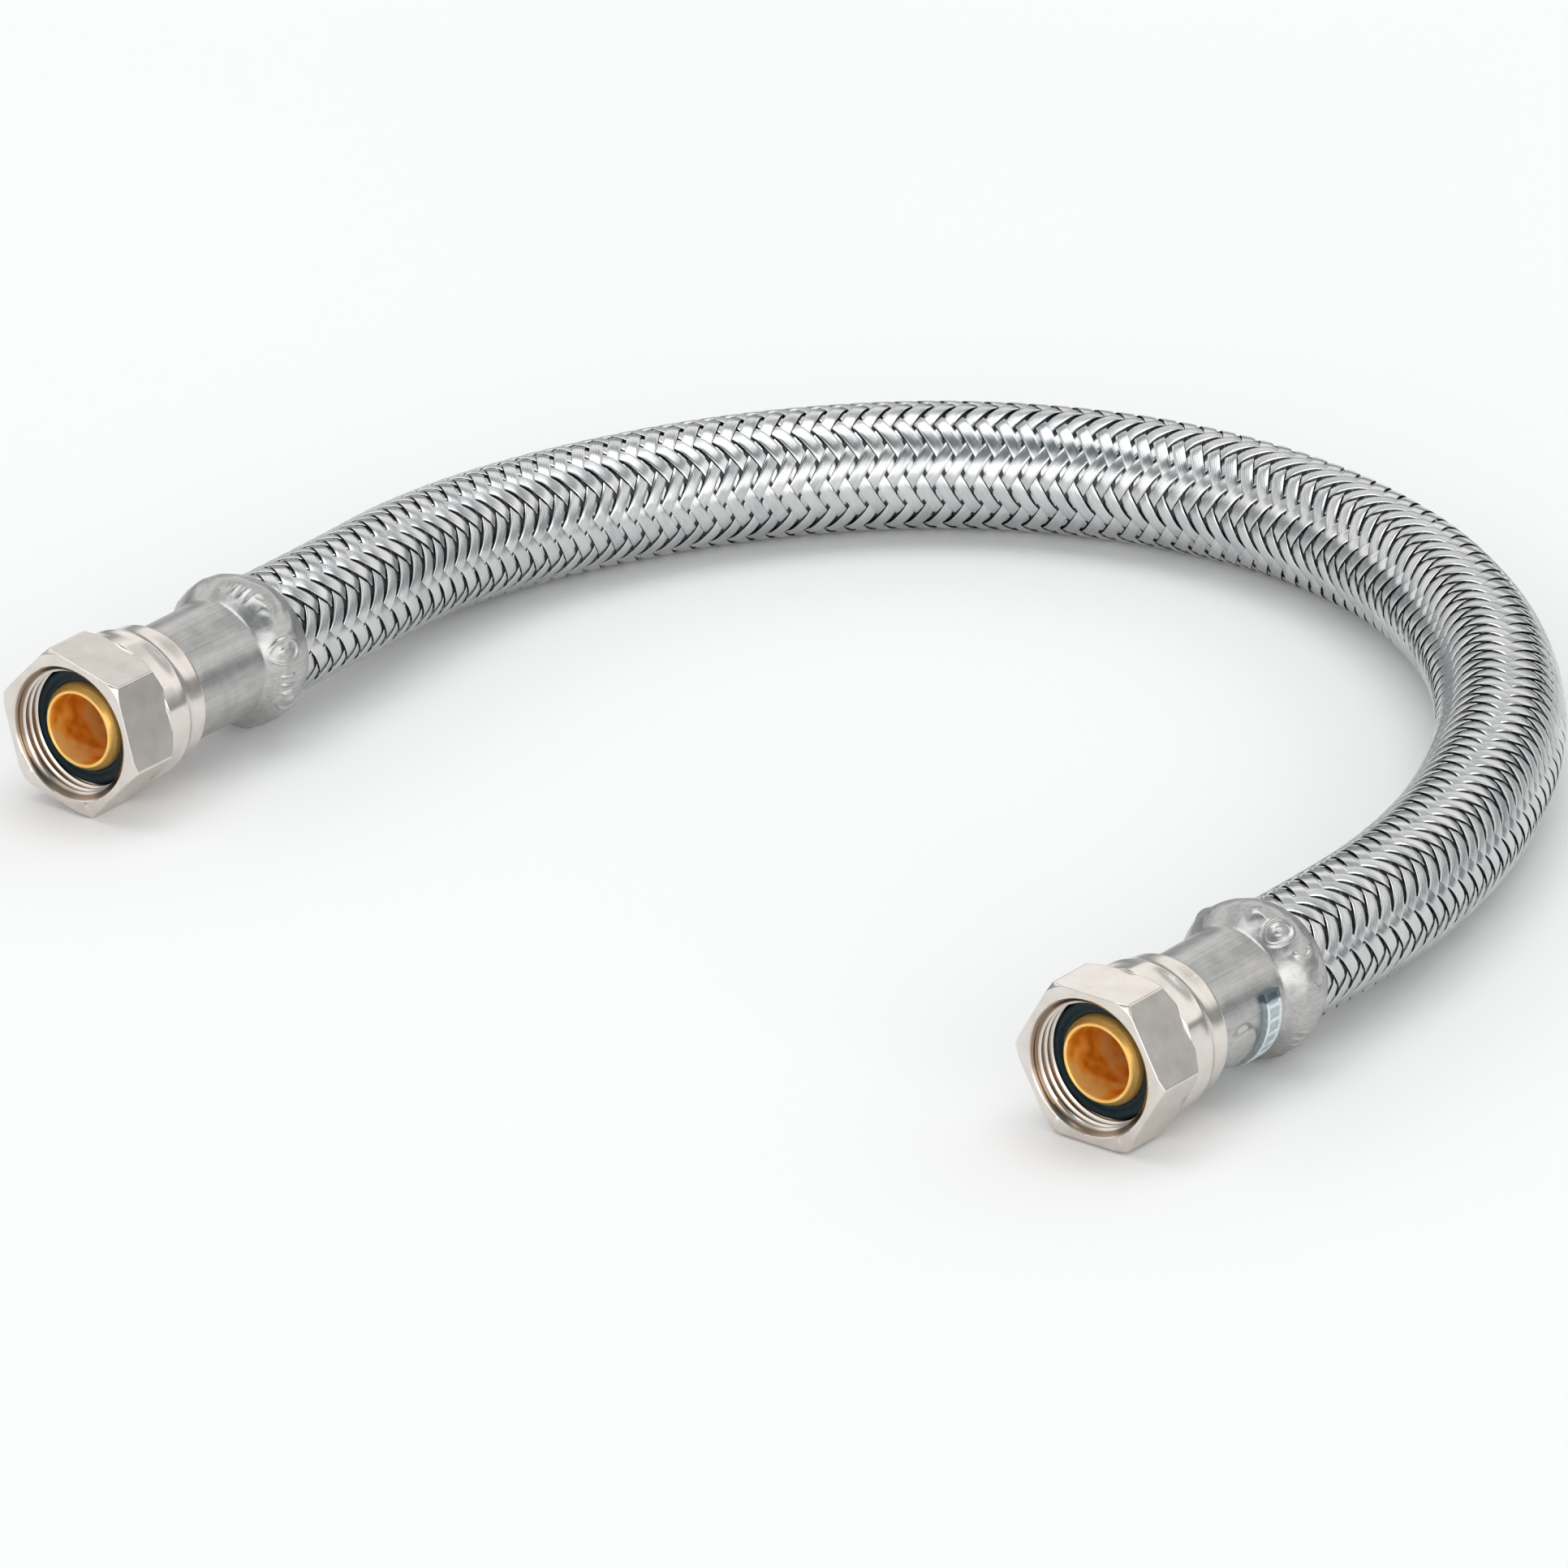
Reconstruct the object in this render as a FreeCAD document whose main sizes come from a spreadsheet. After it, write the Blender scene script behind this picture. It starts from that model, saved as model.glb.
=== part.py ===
"""Braided water supply line: a steel-braided hose with a swivel nut fitting at each end.

The hose lies on a surface in a U. Both fittings point along -Y, end A at -X and end B at +X.
Origin: the middle of the two fittings, on the surface that they lie on. Z is up, millimetres.

Each fitting is drawn in a frame of its own: its origin is the centre of the nut's mouth, and its
Z axis runs back into the hose. A station is a distance along that axis from the mouth.
"""
import FreeCAD, Part
import math
import os
import re

import Sketcher
from FreeCAD import Placement, Rotation, Vector

os.makedirs("parts", exist_ok=True)
doc = FreeCAD.newDocument("braided_supply_line")

# ---------------------------------------------------------------- driving dimensions
DIMENSIONS = {
    # hose
    "hose_radius": 12.7,
    "liner_radius": 11.5,
    "hose_bore_radius": 9.4,
    # hose end, squeezed between the barbed stem and the crimped waist
    "pinched_hose_radius": 11.5,
    "pinched_liner_radius": 10.9,
    "hose_end": 27.0,
    "pinch_end": 45.0,
    "full_hose": 47.5,
    # coupling nut
    "nut_flats": 30.0,
    "nut_hex_length": 13.2,
    "nut_length": 25.0,
    "bevel_start": 16.2,
    "bevel_reach": 18.0,
    "front_bevel": 1.0,
    "rear_bevel": 2.4,
    "collar_radius": 15.5,
    "collar_start": 12.0,
    "collar_edge_radius": 15.1,
    "collar_end": 18.2,
    "neck_radius": 14.15,
    "neck_start": 20.2,
    "neck_end": 24.3,
    "neck_back_radius": 13.4,
    "nut_mouth_radius": 13.8,
    "nut_mouth_depth": 1.6,
    "thread_radius": 12.1,
    "nut_shoulder": 11.0,
    "nut_rear_bore_radius": 10.5,
    # flat gasket
    "gasket_radius": 11.8,
    "gasket_front": 5.0,
    "gasket_thickness": 2.6,
    # brass nipple
    "nipple_bore_radius": 7.15,
    "nose_front": 2.8,
    "nose_front_radius": 7.7,
    "nose_shoulder": 4.3,
    "nose_radius": 9.0,
    "flange_radius": 11.8,
    "flange_end": 10.7,
    "nipple_neck_radius": 10.2,
    "groove_radius": 9.7,
    "stem_radius": 8.7,
    "barb_radius": 9.0,
    "barb_pitch": 5.0,
    "stem_end": 49.5,
    "stem_tip_radius": 8.1,
    # crimped ferrule
    "ferrule_front": 25.3,
    "ferrule_wall": 0.6,
    "waist_radius": 12.1,
    "waist_end": 44.6,
    "bead_start": 49.0,
    "bead_radius": 15.2,
    "bead_end": 53.0,
    "ferrule_end": 56.5,
    "ferrule_lip_radius": 13.3,
    "bead_blend": 2.5,
    # date band on fitting B
    "band_start": 37.8,
    "band_width": 4.4,
    "band_thickness": 1.3,
    "band_sweep": 112.0,
    "band_middle": 215.0,
    # how far each nut is turned from lying on a flat, degrees
    "nut_a_turn": 13.5,
    "nut_b_turn": 0.0,
}

sheet = doc.addObject("Spreadsheet::Sheet", "Dimensions")
for row, (alias, number) in enumerate(DIMENSIONS.items(), start=1):
    sheet.set(f"A{row}", alias)
    sheet.set(f"B{row}", str(number))
    sheet.setAlias(f"B{row}", alias)
doc.recompute()


def bound(expression):
    """The expression with each alias, but no function's name, pointing at the sheet."""
    return re.sub(r"\b[a-z][a-z_]*\b(?!\()", lambda word: "Dimensions." + word.group(0), expression)


def size(expression):
    """The expression's present value."""
    return float(sheet.evalExpression(bound(expression)))


# ---------------------------------------------------------------- route of the hose
# Chosen points of the hose's centre line, from inside fitting A to inside fitting B. The first
# and the last run lie on the fittings' axes. A's axis is higher, because its nut lies on a corner.
ROUTE = [
    (-122, 19.2, 16.6),
    (-122, 50, 16.6),
    (-127, 85, 14.4),
    (-122, 121, 12.7),
    (-103, 160, 12.7),
    (-71, 193, 12.7),
    (-27, 210, 12.7),
    (19, 206, 12.7),
    (59, 183, 12.7),
    (89, 150, 12.7),
    (108, 112, 12.8),
    (118, 77, 13.8),
    (122, 47, 15.5),
    (122, 19.2, 15.5),
]
ARC_SHARE = 0.45
VOLUME_TOLERANCE = 0.005
EDGE_TOLERANCE = 0.01

route = [Vector(*point) for point in ROUTE]


def fitting_frame(hose_point, next_point):
    """Placement of a fitting in line with the hose's first run, which starts at hose_point."""
    along = (next_point - hose_point).normalize()
    across = Vector(0, 0, 1).cross(along).normalize()
    mouth = hose_point - along * size("full_hose")
    return Placement(mouth, Rotation(across, along.cross(across), along, "ZXY"))


FITTINGS = {
    "a": fitting_frame(route[0], route[1]),
    "b": fitting_frame(route[-1], route[-2]),
}
TURNS = {"a": "nut_a_turn", "b": "nut_b_turn"}


def route_wire(points):
    """Straight runs joined by tangent arcs, and the length of the line that they make."""
    edges = []
    length = 0.0
    start = points[0]
    for before, corner, after in zip(points, points[1:], points[2:]):
        back = before - corner
        ahead = after - corner
        half_turn = (math.pi - back.getAngle(ahead)) / 2
        trim = ARC_SHARE * min(back.Length, ahead.Length)
        radius = trim / math.tan(half_turn)
        arc_start = corner + back.normalize() * trim
        arc_end = corner + ahead.normalize() * trim
        inward = (back + ahead).normalize()
        middle = corner + inward * (radius / math.cos(half_turn) - radius)
        edges.append(Part.LineSegment(start, arc_start).toShape())
        edges.append(Part.Arc(arc_start, middle, arc_end).toShape())
        length += (arc_start - start).Length + 2 * half_turn * radius
        start = arc_end
        print(f"  bend radius {radius:.0f} mm, turn {math.degrees(2 * half_turn):.1f} deg")
    edges.append(Part.LineSegment(start, points[-1]).toShape())
    length += (points[-1] - start).Length
    return Part.Wire(edges), length


# ---------------------------------------------------------------- helpers
def origin_plane(body, role):
    """The body's own origin plane with that role."""
    return next(f for f in body.Origin.OriginFeatures if f.Role == role)


def add_body(label, placement):
    """A PartDesign body with its label and place."""
    body = doc.addObject("PartDesign::Body", label)
    body.Label = label
    body.Placement = placement
    return body


def add_outline(body, name, corners):
    """A closed outline in the body's XZ plane, each corner given as (radius, station)."""
    sketch = body.newObject("Sketcher::SketchObject", f"{body.Label}_{name}")
    sketch.AttachmentSupport = (origin_plane(body, "XZ_Plane"), [""])
    sketch.MapMode = "FlatFace"
    spots = [Vector(size(radius), size(station), 0) for radius, station in corners]
    for start, end in zip(spots, spots[1:] + spots[:1]):
        sketch.addGeometry(Part.LineSegment(start, end), False)
    origin = -1
    root_point = 1
    for index, (radius, station) in enumerate(corners):
        earlier = (index - 1) % len(corners)
        sketch.addConstraint(Sketcher.Constraint("Coincident", earlier, 2, index, 1))
        for kind, expression, number in (
            ("DistanceX", radius, spots[index].x),
            ("DistanceY", station, spots[index].y),
        ):
            place = sketch.addConstraint(
                Sketcher.Constraint(kind, origin, root_point, index, 1, number)
            )
            sketch.setExpression(f"Constraints[{place}]", bound(expression))
    return sketch


def turn_outline(body, kind, name, corners):
    """Turn an outline about the fitting's axis, adding or cutting material."""
    sketch = add_outline(body, f"{name}_outline", corners)
    turned = body.newObject(kind, f"{body.Label}_{name}")
    turned.Profile = sketch
    turned.ReferenceAxis = (sketch, ["V_Axis"])
    turned.Angle = 360.0
    doc.recompute()
    return turned


def round_edges(body, stations, expression):
    """Fillet the circular edges that lie at these (radius, station) places."""
    base = body.Tip
    names = []
    for index, edge in enumerate(base.Shape.Edges, start=1):
        curve = edge.Curve
        if not isinstance(curve, Part.Circle):
            continue
        for radius, station in stations:
            near = abs(curve.Radius - size(radius)) < EDGE_TOLERANCE
            if near and abs(curve.Center.z - size(station)) < EDGE_TOLERANCE:
                names.append(f"Edge{index}")
    fillet = body.newObject("PartDesign::Fillet", f"{body.Label}_blend")
    fillet.Base = (base, sorted(set(names)))
    fillet.setExpression("Radius", bound(expression))
    doc.recompute()


# ---------------------------------------------------------------- pieces of a fitting
def coupling_nut(end, frame):
    """Hexagon nut with a tapered collar and a turned neck, open right through."""
    turned = frame.multiply(Placement(Vector(), Rotation(Vector(0, 0, 1), size(TURNS[end]))))
    body = add_body(f"coupling_nut_{end}", turned)
    hexagon = body.newObject("PartDesign::AdditivePrism", f"{body.Label}_hexagon")
    hexagon.Polygon = 6
    hexagon.setExpression("Circumradius", bound("nut_flats / 2 / cos(30)"))
    hexagon.setExpression("Height", bound("nut_hex_length"))
    doc.recompute()
    turn_outline(body, "PartDesign::Groove", "front_bevel", [
        ("bevel_start", "0"),
        ("bevel_reach", "0"),
        ("bevel_reach", "front_bevel"),
    ])
    turn_outline(body, "PartDesign::Groove", "rear_bevel", [
        ("collar_radius", "nut_hex_length"),
        ("bevel_reach", "nut_hex_length - rear_bevel"),
        ("bevel_reach", "nut_hex_length"),
    ])
    turn_outline(body, "PartDesign::Revolution", "collar", [
        ("nut_rear_bore_radius", "collar_start"),
        ("collar_radius", "collar_start"),
        ("collar_edge_radius", "collar_end"),
        ("neck_radius", "neck_start"),
        ("neck_radius", "neck_end"),
        ("neck_back_radius", "nut_length"),
        ("nut_rear_bore_radius", "nut_length"),
    ])
    turn_outline(body, "PartDesign::Groove", "socket", [
        ("0", "0"),
        ("nut_mouth_radius", "0"),
        ("thread_radius", "nut_mouth_depth"),
        ("thread_radius", "nut_shoulder"),
        ("nut_rear_bore_radius", "nut_shoulder"),
        ("nut_rear_bore_radius", "nut_length"),
        ("0", "nut_length"),
    ])
    return body


def gasket(end, frame):
    """Flat rubber ring on the nipple's nose, against its flange."""
    body = add_body(f"gasket_{end}", frame)
    turn_outline(body, "PartDesign::Revolution", "ring", [
        ("nose_radius", "gasket_front"),
        ("gasket_radius", "gasket_front"),
        ("gasket_radius", "gasket_front + gasket_thickness"),
        ("nose_radius", "gasket_front + gasket_thickness"),
    ])
    return body


def nipple(end, frame):
    """Brass tube: tapered nose, flange that holds the nut, neck, and a barbed stem."""
    body = add_body(f"nipple_{end}", frame)
    flange_start = "gasket_front + gasket_thickness"
    corners = [
        ("nipple_bore_radius", "nose_front"),
        ("nose_front_radius", "nose_front"),
        ("nose_radius", "nose_shoulder"),
        ("nose_radius", flange_start),
        ("flange_radius", flange_start),
        ("flange_radius", "flange_end"),
        ("nipple_neck_radius", "flange_end"),
        ("nipple_neck_radius", "ferrule_front"),
        ("groove_radius", "ferrule_front"),
        ("groove_radius", "ferrule_front + ferrule_wall"),
        ("barb_radius", "ferrule_front + ferrule_wall"),
    ]
    barb_count = 4
    for barb in range(barb_count):
        start = f"hose_end + {barb} * barb_pitch"
        corners.append(("barb_radius", start))
        corners.append(("stem_radius", start))
    corners += [
        ("barb_radius", f"hose_end + {barb_count} * barb_pitch"),
        ("stem_tip_radius", "stem_end"),
        ("nipple_bore_radius", "stem_end"),
    ]
    turn_outline(body, "PartDesign::Revolution", "turned_tube", corners)
    return body


def ferrule(end, frame):
    """Thin steel sleeve: closed-in front, crimped waist, and a bead that the hose runs out of."""
    body = add_body(f"ferrule_{end}", frame)
    turn_outline(body, "PartDesign::Revolution", "sleeve", [
        ("groove_radius", "ferrule_front"),
        ("waist_radius", "ferrule_front"),
        ("waist_radius", "waist_end"),
        ("bead_radius", "bead_start"),
        ("bead_radius", "bead_end"),
        ("ferrule_lip_radius", "ferrule_end"),
        ("hose_radius", "ferrule_end"),
        ("hose_radius", "ferrule_end - ferrule_wall"),
        ("bead_radius - ferrule_wall", "bead_end - ferrule_wall / 2"),
        ("bead_radius - ferrule_wall", "bead_start + ferrule_wall / 2"),
        ("waist_radius - ferrule_wall", "waist_end + ferrule_wall / 2"),
        ("waist_radius - ferrule_wall", "ferrule_front + ferrule_wall"),
        ("groove_radius", "ferrule_front + ferrule_wall"),
    ])
    round_edges(body, [
        ("waist_radius", "waist_end"),
        ("bead_radius", "bead_start"),
        ("bead_radius", "bead_end"),
    ], "bead_blend")
    return body


def date_band(frame):
    """Narrow strip bent part of the way round ferrule B's waist."""
    turned = frame.multiply(Placement(Vector(), Rotation(Vector(0, 0, 1), size("band_middle"))))
    body = add_body("date_band_b", turned)
    band = turn_outline(body, "PartDesign::Revolution", "strip", [
        ("waist_radius", "band_start"),
        ("waist_radius + band_thickness", "band_start"),
        ("waist_radius + band_thickness", "band_start + band_width"),
        ("waist_radius", "band_start + band_width"),
    ])
    band.Midplane = True
    band.setExpression("Angle", bound("band_sweep"))
    return body


# ---------------------------------------------------------------- hose
def hose_end(frame, outer, inner, pinched_outer, pinched_inner):
    """The squeezed end of one layer of the hose, turned about the fitting's axis."""
    outline = [
        (pinched_inner, "hose_end"),
        (pinched_outer, "hose_end"),
        (pinched_outer, "pinch_end"),
        (outer, "full_hose"),
        (inner, "full_hose"),
        (pinched_inner, "pinch_end"),
    ]
    spots = [Vector(size(radius), 0, size(station)) for radius, station in outline]
    face = Part.Face(Part.makePolygon(spots + spots[:1]))
    solid = face.revolve(Vector(), Vector(0, 0, 1), 360)
    solid.transformShape(frame.toMatrix())
    return solid


def hose_layer(label, outer, inner, pinched_outer, pinched_inner):
    """One layer of the hose: a hollow tube along the route, with a squeezed end in each ferrule."""
    print(label)
    wire, length = route_wire(route)
    heading = route[1] - route[0]
    pipes = []
    for radius in (outer, inner):
        ring = Part.Wire(Part.makeCircle(size(radius), route[0], heading))
        pipes.append(wire.makePipeShell([ring], True, False))
    tube = pipes[0].cut(pipes[1])
    expected = math.pi * (size(outer) ** 2 - size(inner) ** 2) * length
    error = abs(tube.Volume / expected - 1)
    print(f"  length {length:.1f} mm, volume off by {100 * error:.3f} per cent")
    if error > VOLUME_TOLERANCE:
        raise RuntimeError(f"{label}: the tube's volume isn't its section times its length")
    for frame in FITTINGS.values():
        tube = tube.fuse(hose_end(frame, outer, inner, pinched_outer, pinched_inner))
    layer = doc.addObject("Part::Feature", label)
    layer.Label = label
    layer.Shape = tube.Solids[0] if len(tube.Solids) == 1 else tube
    return layer


# ---------------------------------------------------------------- build, check, write
subparts = [
    hose_layer("hose_liner", "liner_radius", "hose_bore_radius",
               "pinched_liner_radius", "barb_radius"),
    hose_layer("hose_braid", "hose_radius", "liner_radius",
               "pinched_hose_radius", "pinched_liner_radius"),
]
for end, frame in FITTINGS.items():
    subparts.append(coupling_nut(end, frame))
    subparts.append(gasket(end, frame))
    subparts.append(nipple(end, frame))
    subparts.append(ferrule(end, frame))
    mouth = frame.Base
    print(f"mouth {end}: {mouth.x:.3f}, {mouth.y:.3f}, {mouth.z:.3f}")
subparts.append(date_band(FITTINGS["b"]))
doc.recompute()

for item in doc.Objects:
    if "Invalid" in item.State or "Error" in item.State:
        raise RuntimeError(f"{item.Label} failed: {item.State}")

for subpart in subparts:
    shape = subpart.Shape
    if shape.isNull() or not shape.isValid() or len(shape.Solids) != 1:
        raise RuntimeError(f"{subpart.Label}: null, invalid or not one solid")
    shape.exportStep(f"parts/{subpart.Label}.step")
    box = shape.optimalBoundingBox(False)
    print(f"{subpart.Label}: {shape.Volume:.0f} mm3, X {box.XMin:.2f} to {box.XMax:.2f}, "
          f"Y {box.YMin:.2f} to {box.YMax:.2f}, Z {box.ZMin:.2f} to {box.ZMax:.2f}")
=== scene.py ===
"""Looks of a braided water supply line: a steel-braided hose with a swivel nut fitting at each end.

The fittings stand side by side and point along -Y, and the hose lies behind them in a U. Sizes are
in millimetres and MM turns them into metres. The pieces of a fitting are drawn in a frame of their
own: its origin is the centre of the nut's mouth, its Z axis runs back into the hose, and a station
is a distance along that axis. Angles round it are in degrees: 90 is up, and 180 is the +X side.
"""

import math

import bmesh
import bpy
import numpy as np
from mathutils import Matrix, Vector, noise


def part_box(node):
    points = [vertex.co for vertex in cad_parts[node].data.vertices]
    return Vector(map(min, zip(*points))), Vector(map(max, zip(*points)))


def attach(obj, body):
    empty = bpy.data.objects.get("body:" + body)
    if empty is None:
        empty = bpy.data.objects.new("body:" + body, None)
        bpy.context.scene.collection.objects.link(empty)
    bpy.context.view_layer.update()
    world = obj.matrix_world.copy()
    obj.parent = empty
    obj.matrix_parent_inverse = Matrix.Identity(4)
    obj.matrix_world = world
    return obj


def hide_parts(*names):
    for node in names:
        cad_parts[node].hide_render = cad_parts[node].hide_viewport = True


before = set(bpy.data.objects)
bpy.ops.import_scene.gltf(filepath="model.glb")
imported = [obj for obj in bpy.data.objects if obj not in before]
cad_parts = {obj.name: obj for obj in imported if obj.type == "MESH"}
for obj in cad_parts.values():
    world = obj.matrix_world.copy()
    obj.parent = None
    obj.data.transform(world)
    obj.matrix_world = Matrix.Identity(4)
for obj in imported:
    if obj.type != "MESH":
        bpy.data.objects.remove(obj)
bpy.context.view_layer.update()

MM = 0.001

# ---------------------------------------------------------------- camera
VIEW_AZIMUTH = math.radians(37.8)
VIEW_ELEVATION = math.radians(24.0)
VIEW_DISTANCE = 3.457
VIEW_TARGET = Vector((-0.0223, 0.0666, 0.0))
LENS = 412.4


def make_camera():
    """A long lens, looking down a little from the front and the +X side."""
    data = bpy.data.cameras.new("camera")
    data.lens = LENS
    data.clip_end = 50.0
    camera = bpy.data.objects.new("camera", data)
    back = Vector((
        math.sin(VIEW_AZIMUTH) * math.cos(VIEW_ELEVATION),
        -math.cos(VIEW_AZIMUTH) * math.cos(VIEW_ELEVATION),
        math.sin(VIEW_ELEVATION),
    ))
    camera.location = VIEW_TARGET + VIEW_DISTANCE * back
    camera.rotation_euler = back.to_track_quat("Z", "Y").to_euler()
    bpy.context.scene.collection.objects.link(camera)
    bpy.context.scene.camera = camera


# ---------------------------------------------------------------- node helpers
def link(tree, source, target):
    """Join an output socket to an input socket, or set the input to a plain value."""
    if isinstance(source, bpy.types.NodeSocket):
        tree.links.new(source, target)
    else:
        target.default_value = source


def math_node(tree, operation, first, second=0.0):
    """A Math node's output."""
    node = tree.nodes.new("ShaderNodeMath")
    node.operation = operation
    for socket, source in zip(node.inputs, (first, second)):
        link(tree, source, socket)
    return node.outputs[0]


def weighted(tree, first, second, share):
    """Two values added together: share of the first, and the rest of the second."""
    return math_node(tree, "ADD", math_node(tree, "MULTIPLY", first, share),
                     math_node(tree, "MULTIPLY", second, 1 - share))


def split_vector(tree, vector):
    """A vector's X, Y and Z outputs."""
    parts = tree.nodes.new("ShaderNodeSeparateXYZ")
    tree.links.new(vector, parts.inputs[0])
    return parts.outputs


def axis_distance(tree, parts):
    """Distance from the Z axis, from a split vector."""
    squares = [
        math_node(tree, "POWER", math_node(tree, "ABSOLUTE", parts[axis]), 2.0) for axis in "XY"
    ]
    return math_node(tree, "SQRT", math_node(tree, "ADD", *squares))


def ramp_node(tree, factor, stops):
    """A colour ramp's colour output. stops holds (position, colour) pairs."""
    node = tree.nodes.new("ShaderNodeValToRGB")
    elements = node.color_ramp.elements
    while len(elements) < len(stops):
        elements.new(1.0)
    for element, (position, colour) in zip(elements, stops):
        element.position = position
        element.color = (*colour, 1.0)
    link(tree, factor, node.inputs["Fac"])
    return node.outputs["Color"]


def range_node(tree, value, low, high):
    """A value from 0 to 1 spread over low to high."""
    node = tree.nodes.new("ShaderNodeMapRange")
    link(tree, value, node.inputs["Value"])
    node.inputs["To Min"].default_value = low
    node.inputs["To Max"].default_value = high
    return node.outputs["Result"]


def scaled_coordinates(tree, scale):
    """The piece's own coordinates in millimetres, stretched by scale along each axis."""
    coordinates = tree.nodes.new("ShaderNodeTexCoord")
    mapping = tree.nodes.new("ShaderNodeMapping")
    mapping.inputs["Scale"].default_value = [factor / MM for factor in scale]
    tree.links.new(coordinates.outputs["Object"], mapping.inputs["Vector"])
    return mapping.outputs["Vector"]


def noise_node(tree, vector, scale, detail=3.0, roughness=0.55):
    """A noise texture's value."""
    node = tree.nodes.new("ShaderNodeTexNoise")
    tree.links.new(vector, node.inputs["Vector"])
    node.inputs["Scale"].default_value = scale
    node.inputs["Detail"].default_value = detail
    node.inputs["Roughness"].default_value = roughness
    return node.outputs["Fac"]


def mix_node(tree, factor, first, second, blend="MIX"):
    """A mix of two colours."""
    node = tree.nodes.new("ShaderNodeMix")
    node.data_type = "RGBA"
    node.blend_type = blend
    link(tree, factor, node.inputs["Factor"])
    for name, source in (("A", first), ("B", second)):
        socket = next(s for s in node.inputs if s.name == name and s.type == "RGBA")
        link(tree, source, socket)
    return next(s for s in node.outputs if s.type == "RGBA")


def bump_node(tree, height, distance, strength=1.0):
    """The normal of a bumpy surface, distance in millimetres."""
    node = tree.nodes.new("ShaderNodeBump")
    node.inputs["Strength"].default_value = strength
    node.inputs["Distance"].default_value = distance * MM
    tree.links.new(height, node.inputs["Height"])
    return node.outputs["Normal"]


def new_material(name, metallic, **constants):
    """A material with one Principled shader. constants are sockets that hold one value all over."""
    material = bpy.data.materials.new(name)
    material.use_nodes = True
    tree = material.node_tree
    shader = tree.nodes["Principled BSDF"]
    shader.inputs["Metallic"].default_value = metallic
    for socket, value in constants.items():
        shader.inputs[socket.replace("_", " ")].default_value = value
    return material, tree, shader


# ---------------------------------------------------------------- materials
BRAID_UV = "Strand"
WIRES_IN_A_BAND = 9
# Neighbouring bands and wires read the noise this far apart, so that their tones differ.
TONE_STEP = 7.31
# Millimetres that a colour ramp covers where it follows a distance.
RAMP_REACH = 20.0


def braid_material():
    """Bright steel wire lying side by side in bands, each band a little different in tone, with
    painted shade between the wires.
    """
    material, tree, shader = new_material("braid_steel_wire", 1.0, Anisotropic=0.7)
    uv = tree.nodes.new("ShaderNodeUVMap")
    uv.uv_map = BRAID_UV
    parts = split_vector(tree, uv.outputs["UV"])
    across, along = parts["X"], parts["Y"]
    band = math_node(tree, "FLOOR", across)
    wire_place = math_node(tree, "MULTIPLY", across, float(WIRES_IN_A_BAND))
    wire = math_node(tree, "FLOOR", wire_place)
    in_wire = math_node(tree, "FRACT", wire_place)
    ridge = math_node(tree, "SINE", math_node(tree, "MULTIPLY", in_wire, math.pi))

    tones = []
    for cell, stretch in ((band, 0.07), (wire, 0.35)):
        place = tree.nodes.new("ShaderNodeCombineXYZ")
        tree.links.new(math_node(tree, "MULTIPLY", cell, TONE_STEP), place.inputs["X"])
        tree.links.new(math_node(tree, "MULTIPLY", along, stretch), place.inputs["Y"])
        tones.append(noise_node(tree, place.outputs["Vector"], 1.0, detail=2.0))
    tone = weighted(tree, *tones, 0.6)
    steel = ramp_node(tree, tone, [
        (0.30, (0.52, 0.54, 0.55)),
        (0.50, (0.70, 0.705, 0.71)),
        (0.70, (0.86, 0.86, 0.85)),
    ])
    # Painted shade: the colour darkens towards each wire's edges, where the wires meet.
    gap = range_node(tree, ridge, 0.62, 1.0)
    tree.links.new(mix_node(tree, 1.0, steel, gap, "MULTIPLY"), shader.inputs["Base Color"])
    tree.links.new(range_node(tree, tones[1], 0.18, 0.28), shader.inputs["Roughness"])
    tree.links.new(bump_node(tree, ridge, 0.03, 0.3), shader.inputs["Normal"])
    tangent = tree.nodes.new("ShaderNodeTangent")
    tangent.direction_type = "UV_MAP"
    tangent.uv_map = BRAID_UV
    tree.links.new(tangent.outputs["Tangent"], shader.inputs["Tangent"])
    return material


def liner_material():
    """Dark grey rubber with a faint fine grain."""
    material, tree, shader = new_material("liner_black_rubber", 0.0, IOR=1.5)
    grain = noise_node(tree, scaled_coordinates(tree, (1, 1, 1)), 1.5)
    dark = ramp_node(tree, grain, [(0.3, (0.12, 0.126, 0.128)), (0.7, (0.17, 0.177, 0.18))])
    tree.links.new(dark, shader.inputs["Base Color"])
    tree.links.new(range_node(tree, grain, 0.5, 0.75), shader.inputs["Roughness"])
    tree.links.new(bump_node(tree, grain, 0.05, 0.4), shader.inputs["Normal"])
    return material


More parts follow.
